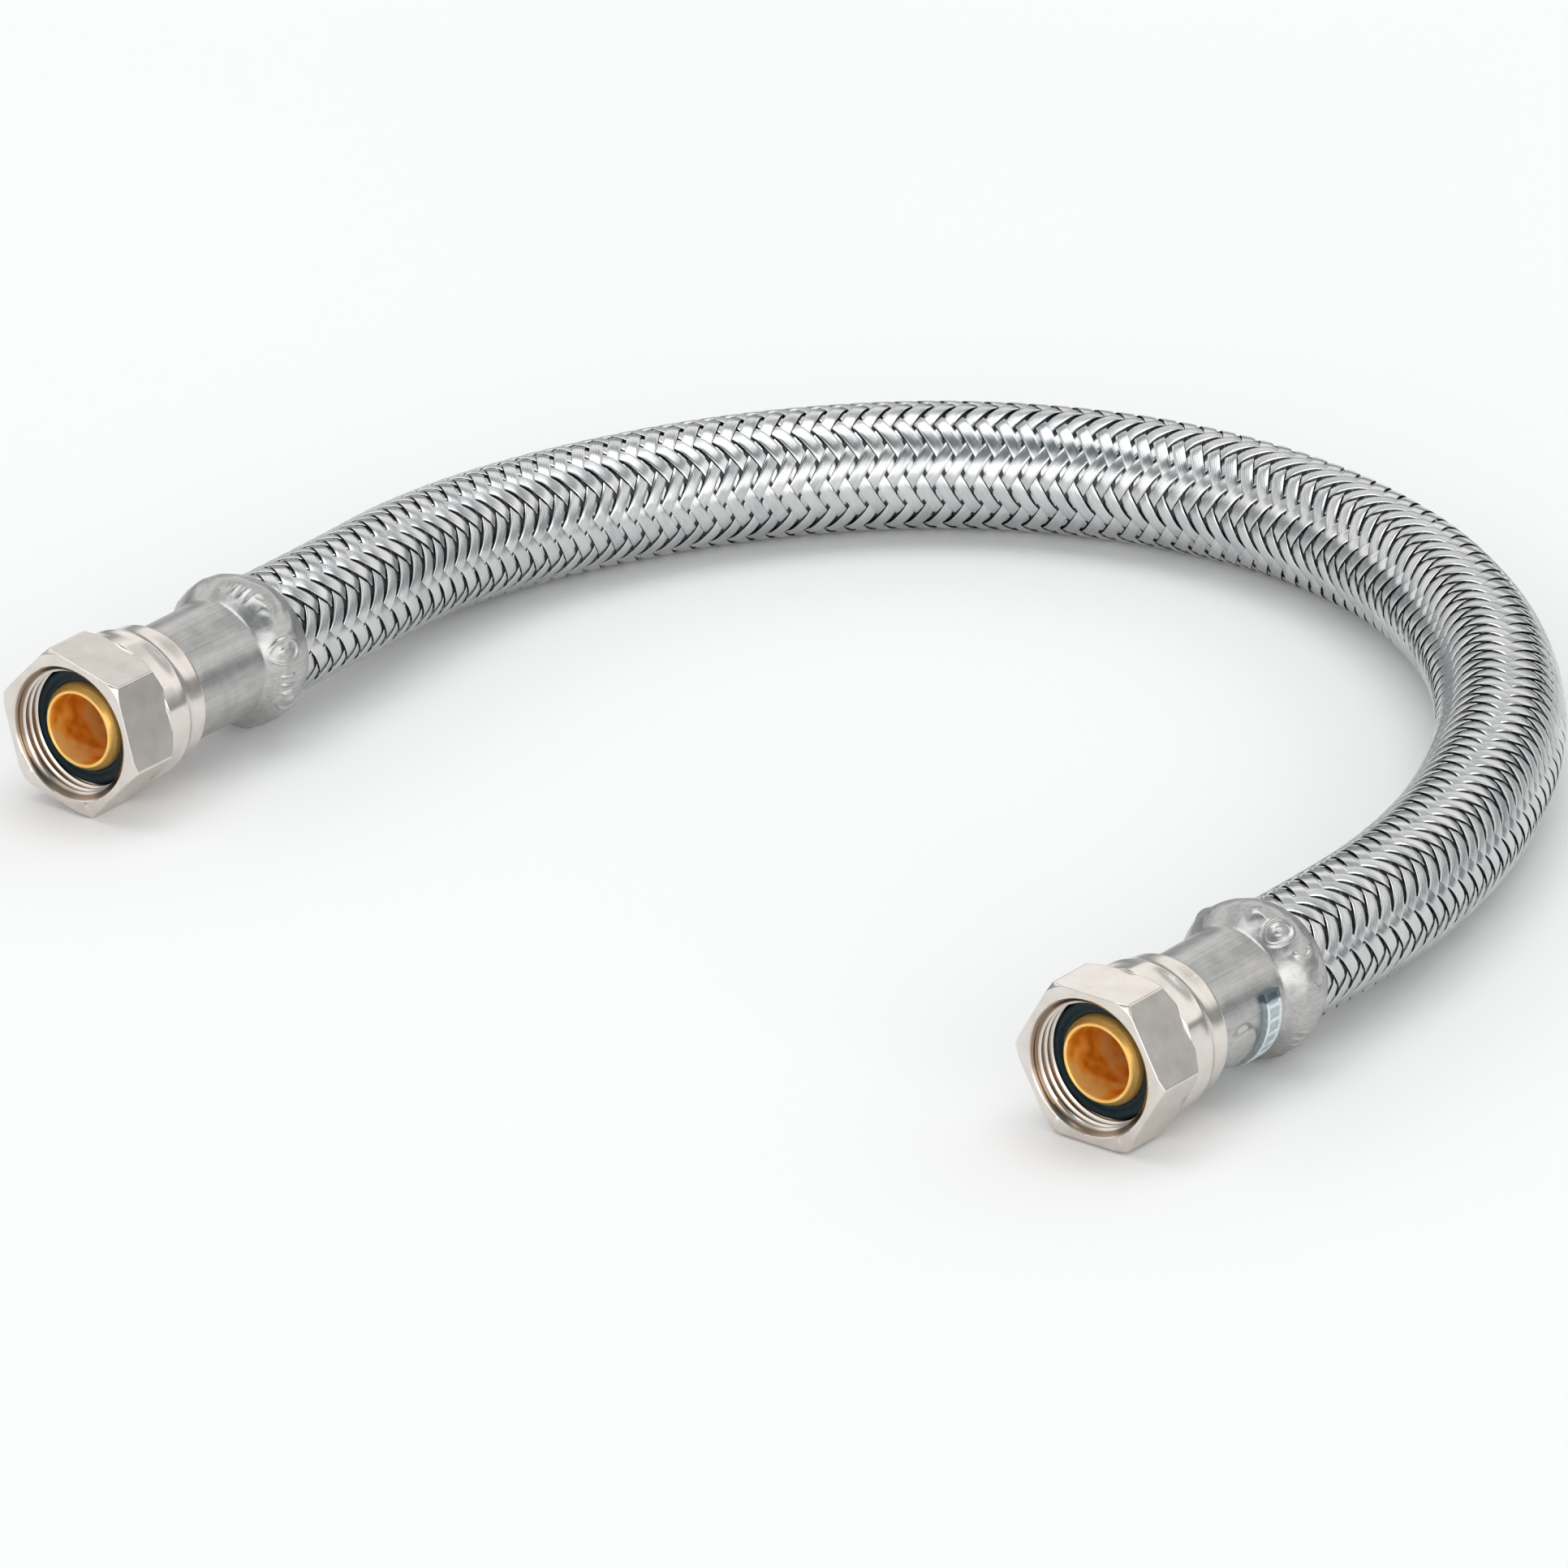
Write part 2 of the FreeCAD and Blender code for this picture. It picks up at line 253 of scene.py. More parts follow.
def nickel_material():
    """Satin nickel plate with a warm cast, and painted shade, tinted brassy brown, in the thread's
    roots.
    """
    material, tree, shader = new_material("nut_nickel_plate", 1.0)
    own = scaled_coordinates(tree, (1, 1, 1))
    cloud = noise_node(tree, own, 0.22, detail=3.0)
    speckle = noise_node(tree, own, 3.0, detail=3.0)
    lines = noise_node(tree, scaled_coordinates(tree, (0.05, 0.05, 6.0)), 1.0, detail=2.0)
    plate = ramp_node(tree, cloud, [
        (0.30, (0.69, 0.635, 0.58)),
        (0.50, (0.74, 0.69, 0.64)),
        (0.72, (0.785, 0.745, 0.70)),
    ])
    spots = range_node(tree, speckle, 0.95, 1.04)
    plate = mix_node(tree, 1.0, plate, spots, "MULTIPLY")
    radius = axis_distance(tree, split_vector(tree, own))
    # Painted shade: from the crests towards the roots the thread darkens to a brassy brown.
    root = ramp_node(tree, math_node(tree, "DIVIDE", radius, RAMP_REACH), [
        ((CREST_RADIUS + 0.3) / RAMP_REACH, (0, 0, 0)),
        ((CREST_RADIUS + 0.6) / RAMP_REACH, (0.95, 0.95, 0.95)),
        ((ROOT_RADIUS + 0.3) / RAMP_REACH, (0.8, 0.8, 0.8)),
        ((ROOT_RADIUS + 0.55) / RAMP_REACH, (0, 0, 0)),
    ])
    plate = mix_node(tree, root, plate, (0.21, 0.13, 0.07, 1.0))
    tree.links.new(plate, shader.inputs["Base Color"])
    wear_and_painted_shade = weighted(tree, cloud, lines, 0.6)
    tree.links.new(range_node(tree, wear_and_painted_shade, 0.16, 0.27), shader.inputs["Roughness"])
    height = weighted(tree, lines, speckle, 0.5)
    tree.links.new(bump_node(tree, height, 0.012, 0.25), shader.inputs["Normal"])
    return material


def brass_material():
    """Bright turned brass with fine turning rings."""
    material, tree, shader = new_material("nipple_turned_brass", 0.65)
    own = scaled_coordinates(tree, (1, 1, 1))
    cloud = noise_node(tree, own, 0.3, detail=3.0)
    rings = noise_node(tree, scaled_coordinates(tree, (0.04, 0.04, 5.0)), 1.0, detail=2.0)
    brass = ramp_node(tree, cloud, [
        (0.30, (0.95, 0.53, 0.13)),
        (0.55, (1.0, 0.61, 0.18)),
        (0.75, (1.0, 0.67, 0.25)),
    ])
    tree.links.new(brass, shader.inputs["Base Color"])
    tree.links.new(range_node(tree, rings, 0.20, 0.36), shader.inputs["Roughness"])
    tree.links.new(bump_node(tree, rings, 0.02, 0.25), shader.inputs["Normal"])
    return material


def bore_material():
    """The nipple's drilled bore: duller brass that glows orange from light scattered inside."""
    material, tree, shader = new_material("nipple_bore_brass", 0.3, Specular_IOR_Level=0.1)
    own = scaled_coordinates(tree, (1, 1, 1))
    cloud = noise_node(tree, own, 0.16, detail=2.0)
    drilled = noise_node(tree, scaled_coordinates(tree, (0.5, 0.5, 0.12)), 1.0, detail=3.0)
    brass = ramp_node(tree, cloud, [
        (0.36, (0.70, 0.24, 0.015)),
        (0.47, (1.0, 0.44, 0.05)),
        (0.58, (1.0, 0.66, 0.22)),
    ])
    tree.links.new(brass, shader.inputs["Base Color"])
    tree.links.new(range_node(tree, drilled, 0.20, 0.45), shader.inputs["Roughness"])
    tree.links.new(bump_node(tree, drilled, 0.12, 0.6), shader.inputs["Normal"])
    return material


def gasket_material():
    """Black rubber with a soft sheen, a few dusty specks and faint moulding marks."""
    material, tree, shader = new_material("gasket_black_rubber", 0.0, IOR=1.38)
    own = scaled_coordinates(tree, (1, 1, 1))
    grain = noise_node(tree, own, 0.9, detail=5.0, roughness=0.65)
    specks = noise_node(tree, own, 3.5, detail=2.0)
    rubber = ramp_node(tree, grain, [(0.35, (0.002, 0.012, 0.017)), (0.75, (0.008, 0.024, 0.031))])
    dust = ramp_node(tree, specks, [(0.68, (0, 0, 0)), (0.80, (0.08, 0.07, 0.05))])
    tree.links.new(mix_node(tree, 1.0, rubber, dust, "ADD"), shader.inputs["Base Color"])
    tree.links.new(range_node(tree, grain, 0.42, 0.68), shader.inputs["Roughness"])
    tree.links.new(bump_node(tree, grain, 0.08, 0.4), shader.inputs["Normal"])
    return material


def ferrule_material():
    """Stainless sleeve, drawn lengthwise: fine streaks along it and dull and bright patches."""
    material, tree, shader = new_material("ferrule_drawn_steel", 1.0)
    own = scaled_coordinates(tree, (1, 1, 1))
    cloud = noise_node(tree, own, 0.28, detail=4.0)
    streaks = noise_node(tree, scaled_coordinates(tree, (2.2, 2.2, 0.06)), 1.0, detail=3.0)
    tone = weighted(tree, cloud, streaks, 0.5)
    steel = ramp_node(tree, tone, [
        (0.32, (0.37, 0.37, 0.365)),
        (0.50, (0.48, 0.475, 0.465)),
        (0.68, (0.58, 0.57, 0.555)),
    ])
    tree.links.new(steel, shader.inputs["Base Color"])
    tree.links.new(range_node(tree, tone, 0.26, 0.40), shader.inputs["Roughness"])
    tree.links.new(bump_node(tree, streaks, 0.03, 0.3), shader.inputs["Normal"])
    return material


def band_material():
    """Pale blue-grey metal strip: painted shade darkens the cells pressed below its rims, and a
    painted dark reflection its upper end.
    """
    material, tree, shader = new_material("band_pale_metal", 0.55)
    own = scaled_coordinates(tree, (1, 1, 1))
    cloud = noise_node(tree, own, 1.2, detail=4.0)
    pale = ramp_node(tree, cloud, [(0.35, (0.62, 0.70, 0.71)), (0.7, (0.80, 0.86, 0.87))])
    parts = split_vector(tree, own)
    radius = axis_distance(tree, parts)
    rim = WAIST_RADIUS + STRIP_THICKNESS
    # Painted shade: the pressed cells below the rims are darkened, and the rims keep the plain
    # colour.
    wear_and_painted_shade = ramp_node(tree, math_node(tree, "DIVIDE", radius, RAMP_REACH), [
        ((rim - 0.30) / RAMP_REACH, (0.58, 0.64, 0.66)),
        ((rim - 0.08) / RAMP_REACH, (1.0, 1.0, 1.0)),
    ])
    pale = mix_node(tree, 1.0, pale, wear_and_painted_shade, "MULTIPLY")
    # Painted dark reflection: the strip's upper end is darkened.
    painted_dark_end = ramp_node(tree, math_node(tree, "DIVIDE", parts["Y"], RAMP_REACH), [
        (2.6 / RAMP_REACH, (1.0, 1.0, 1.0)),
        (3.2 / RAMP_REACH, (0.16, 0.20, 0.23)),
    ])
    pale = mix_node(tree, 1.0, pale, painted_dark_end, "MULTIPLY")
    tree.links.new(pale, shader.inputs["Base Color"])
    tree.links.new(range_node(tree, cloud, 0.22, 0.45), shader.inputs["Roughness"])
    tree.links.new(bump_node(tree, cloud, 0.03, 0.3), shader.inputs["Normal"])
    return material


# ---------------------------------------------------------------- mesh helpers
def grid_faces(columns, rows, close_columns=False, close_rows=False):
    """Quads between neighbours in a grid whose vertices are numbered column by column."""
    column = np.arange(columns if close_columns else columns - 1)
    row = np.arange(rows if close_rows else rows - 1)
    column, row = np.meshgrid(column, row, indexing="ij")
    next_column = (column + 1) % columns
    next_row = (row + 1) % rows
    corners = [
        column * rows + row,
        next_column * rows + row,
        next_column * rows + next_row,
        column * rows + next_row,
    ]
    return np.stack(corners, axis=-1).reshape(-1, 4)


def signed_volume(vertices, quads):
    """The volume inside closed quads, negative where they face inwards."""
    a, b, c, d = (vertices[quads[:, corner]] for corner in range(4))
    halves = np.cross(a, b) * c + np.cross(a, c) * d
    return halves.sum() / 6


def make_mesh(name, vertices, quads):
    """A smooth mesh that faces outwards, from vertices in millimetres."""
    if signed_volume(vertices, quads) < 0:
        quads = quads[:, ::-1]
    mesh = bpy.data.meshes.new(name)
    mesh.from_pydata((vertices * MM).tolist(), [], quads.tolist())
    mesh.shade_smooth()
    return mesh


def add_piece(name, mesh, material, slot, body, nodes, place=None):
    """Show a mesh as a piece that rides on a body and stands for CAD nodes."""
    piece = bpy.data.objects.new(name, mesh)
    bpy.context.scene.collection.objects.link(piece)
    if place is not None:
        piece.matrix_world = place
    if material is not None:
        mesh.materials.append(material)
    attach(piece, body)
    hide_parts(*nodes)
    return piece


def rounded(corners, steps=3):
    """An outline of (radius, station) points from (radius, station, rounding) corners.

    A corner with a rounding becomes a short curve of steps + 1 points, at most 0.45 of a side long.
    """
    most_of_side = 0.45
    spots = np.array([corner[:2] for corner in corners], float)
    outline = []
    for index, corner in enumerate(corners):
        spot = spots[index]
        if len(corner) == 2 or index in (0, len(corners) - 1):
            outline.append(spot)
            continue
        back = spots[index - 1] - spot
        ahead = spots[index + 1] - spot
        lengths = np.maximum(np.linalg.norm([back, ahead], axis=1), 1e-6)
        reach = min(corner[2], *(most_of_side * lengths))
        start = spot + back / lengths[0] * reach
        end = spot + ahead / lengths[1] * reach
        for t in np.linspace(0, 1, steps + 1):
            outline.append((1 - t) ** 2 * start + 2 * t * (1 - t) * spot + t ** 2 * end)
    return np.array(outline)


def subdivided(outline, longest, fine_from=0.0, coarser=4.0):
    """The outline with extra points, so that no side is longer than longest.

    Before the station fine_from the sides may be coarser times as long.
    """
    points = [outline[0]]
    for start, end in zip(outline, outline[1:]):
        allowed = longest * (coarser if end[1] < fine_from else 1.0)
        count = max(1, math.ceil(np.linalg.norm(end - start) / allowed))
        points += [start + (end - start) * step / count for step in range(1, count + 1)]
    return np.array(points)


def lathed(angles, outlines):
    """Points of one outline per angle, set round the axis."""
    turn = np.radians(angles)[:, None]
    radius, station = outlines[..., 0], outlines[..., 1]
    return np.stack([radius * np.cos(turn), radius * np.sin(turn), station], axis=-1)


def keep_flats_flat(piece):
    """Large faces decide the shading of the small ones beside them."""
    normals = piece.modifiers.new("even_shading", "WEIGHTED_NORMAL")
    normals.keep_sharp = True


def from_nearest(value, spacing):
    """How far a value is from the nearest multiple of spacing, negative before it."""
    return (value + spacing / 2) % spacing - spacing / 2


def smooth_step(low, high, value):
    """0 below low, 1 above high, and smooth between."""
    t = np.clip((value - low) / (high - low), 0, 1)
    return t * t * (3 - 2 * t)


# ---------------------------------------------------------------- hose
ROUTE = [
    (-0.122, 0.0192, 0.0166),
    (-0.122, 0.050, 0.0166),
    (-0.127, 0.085, 0.0144),
    (-0.122, 0.121, 0.0127),
    (-0.103, 0.160, 0.0127),
    (-0.071, 0.193, 0.0127),
    (-0.027, 0.210, 0.0127),
    (0.019, 0.206, 0.0127),
    (0.059, 0.183, 0.0127),
    (0.089, 0.150, 0.0127),
    (0.108, 0.112, 0.0128),
    (0.118, 0.077, 0.0138),
    (0.122, 0.047, 0.0155),
    (0.122, 0.0192, 0.0155),
]
ROUTE_STEPS = 24

BANDS = 12
BRAID_PITCH = 51.2
BRAID_RADIUS = 12.38
WEAVE_HEIGHT = 0.33
# The top of a band's section, as (share of the spacing, height above its middle).
BAND_SECTION = [
    (-0.37, -0.13),
    (-0.33, -0.04),
    (-0.20, -0.01),
    (0.0, 0.0),
    (0.20, -0.01),
    (0.33, -0.04),
    (0.37, -0.13),
]
BAND_THICKNESS = 0.27
# Places along one over-and-under of four crossings, from the middle of the float on top.
WEAVE_PLACES = [0, 0.3, 0.6, 0.85, 1.15, 1.4, 1.7, 2.3, 2.6, 2.85, 3.15, 3.4, 3.7]
CROSSOVER = 0.6


def hose_route():
    """Points, in millimetres, along the smooth line that the route's control points draw."""
    data = bpy.data.curves.new("hose_route", "CURVE")
    data.dimensions = "3D"
    data.resolution_u = ROUTE_STEPS
    spline = data.splines.new("NURBS")
    spline.points.add(len(ROUTE) - 1)
    for point, spot in zip(spline.points, ROUTE):
        point.co = (*spot, 1.0)
    spline.order_u = 3
    spline.use_endpoint_u = True
    spline.resolution_u = ROUTE_STEPS
    curve = bpy.data.objects.new("hose_route", data)
    line = bpy.data.meshes.new_from_object(curve)
    points = np.array([vertex.co for vertex in line.vertices]) / MM
    bpy.data.objects.remove(curve)
    bpy.data.meshes.remove(line)
    return points


class Hose:
    """The hose's centre line, with a sideways and an upward direction all along it."""

    def __init__(self, points):
        self.points = points
        steps = np.linalg.norm(np.diff(points, axis=0), axis=1)
        self.stations = np.concatenate([[0.0], np.cumsum(steps)])
        self.length = self.stations[-1]
        ahead = np.gradient(points, self.stations, axis=0)
        ahead /= np.linalg.norm(ahead, axis=1)[:, None]
        side = np.cross(ahead, [0.0, 0.0, 1.0])
        side /= np.linalg.norm(side, axis=1)[:, None]
        self.side = side
        self.upward = np.cross(side, ahead)

    def at(self, station, turn, radius):
        """Points at stations along the hose, turned by turn radians round it."""
        station = np.clip(station, 0, self.length)
        line, side, upward = (
            np.stack([np.interp(station, self.stations, axis) for axis in values.T], axis=-1)
            for values in (self.points, self.side, self.upward)
        )
        radius = np.asarray(radius)[..., None]
        turn = turn[..., None]
        return line + radius * (np.cos(turn) * side + np.sin(turn) * upward)


def weave_height(place):
    """Height of a band over two and under two others. Place 0 is the middle of the float on top."""
    place = np.abs(from_nearest(place, 4))
    return WEAVE_HEIGHT * (1 - 2 * smooth_step(1 - CROSSOVER, 1 + CROSSOVER, place))


def braid_layer(hose, lay):
    """All the bands that wind one way. lay is 1 or -1.

    own counts the bands of this lay round the hose, and other those that they cross, so that the
    pair gives a place on the hose. Rows of vertices follow the bands that are crossed.
    """
    across = np.array([place for place, _ in BAND_SECTION] + [0.0])
    section = np.array([height for _, height in BAND_SECTION] + [-BAND_THICKNESS])
    crossings = 2 * BANDS * hose.length / BRAID_PITCH
    first_weave = -1
    last_weave = math.ceil(crossings / 4) + 1
    vertices, quads, uvs = [], [], []
    for band in range(BANDS):
        places = np.array([
            4 * weave + place
            for weave in range(first_weave, last_weave)
            for place in WEAVE_PLACES
        ])
        start = band if lay > 0 else band - crossings
        float_centre = 1.5 - band if lay > 0 else 3.5 - band
        shift = math.floor((start - float_centre) / 4) * 4
        other = places + float_centre + shift
        other = other[(other > start - 1.5) & (other < start + crossings + 1.5)]
        own = band + across[None, :]
        crossed = other[:, None]
        turn = math.pi * (own + crossed) / BANDS
        station = lay * (crossed - own) * BRAID_PITCH / (2 * BANDS)
        height = weave_height(crossed - float_centre) + section[None, :]
        ring = len(across)
        quads.append(grid_faces(len(other), ring, close_rows=True) + sum(map(len, vertices)))
        vertices.append(hose.at(station, turn, BRAID_RADIUS + height).reshape(-1, 3))
        u = band + 0.5 + 0.48 * across / across.max()
        crossing_length = math.hypot(math.pi * BRAID_RADIUS / BANDS, BRAID_PITCH / (2 * BANDS))
        v = other * crossing_length
        uvs.append(np.stack(np.broadcast_arrays(u[None, :], v[:, None]), axis=-1).reshape(-1, 2))
    name = "braid_right_lay" if lay > 0 else "braid_left_lay"
    mesh = make_mesh(name, np.concatenate(vertices), np.concatenate(quads))
    layer = mesh.uv_layers.new(name=BRAID_UV)
    loop_vertices = np.zeros(len(mesh.loops), np.int32)
    mesh.loops.foreach_get("vertex_index", loop_vertices)
    layer.data.foreach_set("uv", np.concatenate(uvs)[loop_vertices].ravel())
    mesh.set_sharp_from_angle(angle=math.radians(50))
    return name, mesh


LINER_SIDES = 36
LINER_RADIUS = 11.5
LINER_BORE_RADIUS = 9.4
PINCHED_LINER_RADIUS = 10.9
PINCHED_BORE_RADIUS = 9.05
HOSE_END = 27.0
PINCH_END = 45.0
FULL_HOSE = 47.5


def liner_mesh(hose):
    """Rubber tube under the braid, squeezed on to the stem inside each ferrule."""
    ahead = hose.points[1] - hose.points[0]
    ahead /= np.linalg.norm(ahead)
    last_ahead = hose.points[-1] - hose.points[-2]
    last_ahead /= np.linalg.norm(last_ahead)
    pinch = [
        (HOSE_END, PINCHED_LINER_RADIUS, PINCHED_BORE_RADIUS),
        (PINCH_END, PINCHED_LINER_RADIUS, PINCHED_BORE_RADIUS),
    ]
    rings = []
    for station, outer, bore in pinch:
        rings.append((hose.points[0] - ahead * (FULL_HOSE - station), 0, outer, bore))
    for index, point in enumerate(hose.points):
        rings.append((point, index, LINER_RADIUS, LINER_BORE_RADIUS))
    for station, outer, bore in reversed(pinch):
        rings.append((hose.points[-1] + last_ahead * (FULL_HOSE - station), -1, outer, bore))
    turn = np.linspace(0, 2 * math.pi, LINER_SIDES, endpoint=False)[:, None]
    walls = []
    for wall in (2, 3):
        walls.append([
            ring[0] + ring[wall] * (
                np.cos(turn) * hose.side[ring[1]] + np.sin(turn) * hose.upward[ring[1]])
            for ring in rings
        ])
    outside, inside = np.array(walls[0]), np.array(walls[1])[::-1]
    vertices = np.concatenate([outside, inside])
    quads = grid_faces(len(vertices), LINER_SIDES, close_columns=True, close_rows=True)
    return make_mesh("liner_tube", vertices.reshape(-1, 3), quads)


def make_hose():
    """The braid's two lays and the liner, as pieces riding on the hose body."""
    hose = Hose(hose_route())
    wire = braid_material()
    layers = [
        add_piece(*braid_layer(hose, lay), wire, "braid_steel", "hose", ["hose_braid"])
        for lay in (1, -1)
    ]
    liner = add_piece("liner_tube", liner_mesh(hose), liner_material(), "liner_rubber", "hose",
                      ["hose_liner"])


# ---------------------------------------------------------------- fittings
def fitting_place(end):
    """Where a fitting's frame stands: the nut's mouth, with Z along +Y and the X axis along -X."""
    low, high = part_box(f"coupling_nut_{end}")
    mouth = Vector(((low.x + high.x) / 2, low.y, (low.z + high.z) / 2))
    axes = Matrix(((-1, 0, 0), (0, 0, 1), (0, 1, 0)))
    return Matrix.Translation(mouth) @ axes.to_4x4()


# How far each nut is turned from having a flat underneath.
NUT_TURN = {"a": 13.5, "b": 0.0}
NUT_LENGTH = 25.0
FLAT_RADIUS = 15.0
CORNER_ROUNDING = 0.5
MOUTH_RADIUS = 13.8
MOUTH_DEPTH = 1.6
CREST_RADIUS = 12.1
ROOT_RADIUS = 13.1
THREAD_PITCH = 1.814
THREAD_END = 10.0
# Radii of two points on a thread's flank, from the crest to the root.
FLANK_RADII = [12.45, 12.85]
SHOULDER_STATION = 11.0
BACK_BORE_RADIUS = 10.5
BEVEL_START = 16.2
FRONT_BEVEL = 0.56
REAR_BEVEL = 0.96
EDGE_SETBACK = 0.12
COLLAR_START = 12.5
# Behind a corner the collar starts further back, from one radius of the hexagon to another.
COLLAR_SETBACK = 0.7
SETBACK_RADII = (15.25, 15.7)
COLLAR_RADIUS = 15.55
FACET_DEPTH = 0.5
# Columns of the nut's grid, in degrees from a corner to the middle of the flat beside it.
NUT_COLUMNS = [0, 0.42, 0.83, 1.2, 2.0, 3.5, 5.5, 8, 10.5, 13, 14.6, 15.6, 17, 20, 23.5, 27, 30]


def hexagon_radius(angle):
    """Radius of the nut's rounded hexagon, at an angle in degrees from a corner."""
    angle = abs(from_nearest(angle, 60))
    centre = (FLAT_RADIUS - CORNER_ROUNDING) / math.cos(math.radians(30))
    tangent = math.degrees(math.atan2(
        CORNER_ROUNDING / 2, centre + CORNER_ROUNDING * math.cos(math.radians(30))))
    if angle >= tangent:
        return FLAT_RADIUS / math.cos(math.radians(30 - angle))
    turn = math.radians(angle)
    beside = centre * math.sin(turn)
    return centre * math.cos(turn) + math.sqrt(CORNER_ROUNDING ** 2 - beside ** 2)


def nut_outline(angle):
    """Outline of the nut at an angle from a corner, from the thread's end to the mouth.

    The collar has a soft facet behind each corner, and its ridges are behind the flats' middles.
    """
    reach = hexagon_radius(angle)
    from_corner = abs(from_nearest(angle, 60)) / 30
    collar = COLLAR_RADIUS - FACET_DEPTH * (1 - from_corner ** 2)
    collar_start = COLLAR_START + COLLAR_SETBACK * float(smooth_step(*SETBACK_RADII, reach))
    rear_edge = collar_start - EDGE_SETBACK - REAR_BEVEL * max(0.0, reach - collar)
    front_edge = EDGE_SETBACK + max(0.0, (reach - BEVEL_START) * FRONT_BEVEL)
    face_radius = min(reach - 0.1, BEVEL_START)
    return rounded([
        (CREST_RADIUS, THREAD_END),
        (CREST_RADIUS, SHOULDER_STATION, 0.1),
        (BACK_BORE_RADIUS, SHOULDER_STATION, 0.1),
        (BACK_BORE_RADIUS, NUT_LENGTH, 0.3),
        (13.4, NUT_LENGTH, 0.3),
        (14.1, 24.3, 0.5),
        (14.2, 21.2, 1.0),
        (14.35, 19.6, 1.2),
        (15.1, 18.3, 0.25),
        (collar - 0.25, 16.5, 1.0),
        (collar, collar_start, 0.12),
        (reach, rear_edge, 0.18),
        (reach, front_edge, 0.18),
        (face_radius, 0.0, 0.18),
        (MOUTH_RADIUS, 0.0),
    ])


def thread_grid(angles):
    """Points of the threaded bore, row by row along the helix, from the mouth to its end."""
    crest, root = [CREST_RADIUS] * 2, [ROOT_RADIUS] * 2
    section = [*crest, *FLANK_RADII, *root, *reversed(FLANK_RADII)]
    rows = np.arange(math.ceil(len(section) * (THREAD_END / THREAD_PITCH + 1)) + 1)
    turns = (angles - angles[0]) / 360
    station = THREAD_PITCH * (rows[None, :] / len(section) + turns[:, None] - 1)
    station = np.clip(station, 0, THREAD_END)
    radius = np.take(section, rows % len(section))[None, :]
    fading = np.clip((THREAD_END - station) / THREAD_PITCH, 0, 1)
    radius = CREST_RADIUS + (radius - CREST_RADIUS) * fading
    mouth = MOUTH_RADIUS - (MOUTH_RADIUS - CREST_RADIUS) * station / MOUTH_DEPTH
    return lathed(angles, np.stack([np.maximum(radius, mouth), station], axis=-1))


def nut_mesh(end):
    """Hexagon nut: bevelled and softly rounded outside, with a real helical thread in its mouth."""
    half = NUT_COLUMNS + [60 - angle for angle in reversed(NUT_COLUMNS[1:-1])]
    angles = np.array([60 * side + angle for side in range(6) for angle in half])
    outlines = np.array([nut_outline(angle) for angle in angles])
    shell = lathed(angles + NUT_TURN[end], outlines)
    around = np.append(angles, angles[0] + 360) + NUT_TURN[end]
    thread = thread_grid(around)
    grids = [(shell, True), (thread, False)]
    vertices = np.concatenate([points.reshape(-1, 3) for points, _ in grids])
    quads = np.concatenate([
        grid_faces(*shell.shape[:2], close_columns=True),
        grid_faces(*thread.shape[:2]) + shell.shape[0] * shell.shape[1],
    ])
    mesh = bpy.data.meshes.new(f"nut_{end}_threaded")
    mesh.from_pydata((vertices * MM).tolist(), [], quads.tolist())
    weld = bmesh.new()
    weld.from_mesh(mesh)
    bmesh.ops.remove_doubles(weld, verts=weld.verts, dist=0.002 * MM)
    bmesh.ops.recalc_face_normals(weld, faces=weld.faces)
    weld.to_mesh(mesh)
    weld.free()
    mesh.shade_smooth()
    mesh.set_sharp_from_angle(angle=math.radians(45))
    return mesh


def turned_mesh(name, corners, columns=128):
    """A plain turned piece from a closed outline."""
    closed = [*corners, corners[0][:2]]
    outline = rounded(closed, steps=4)[:-1]
    angles = np.linspace(0, 360, columns, endpoint=False)
    outlines = np.repeat(outline[None], columns, axis=0)
    vertices = lathed(angles, outlines)
    quads = grid_faces(columns, len(outline), close_columns=True, close_rows=True)
    return make_mesh(name, vertices.reshape(-1, 3), quads)


def gasket_mesh(end):
    """Rubber washer with rounded edges and a slightly hollow face."""
    return turned_mesh(f"gasket_{end}_ring", [
        (9.05, 7.55),
        (9.05, 5.05, 0.15),
        (9.6, 4.95, 0.3),
        (10.4, 5.2, 0.5),
        (11.3, 5.0, 0.4),
        (11.75, 5.15, 0.25),
        (11.75, 7.55, 0.2),
    ])


NIPPLE_BORE_RADIUS = 7.15
BARBS = 4
BARB_PITCH = 5.0


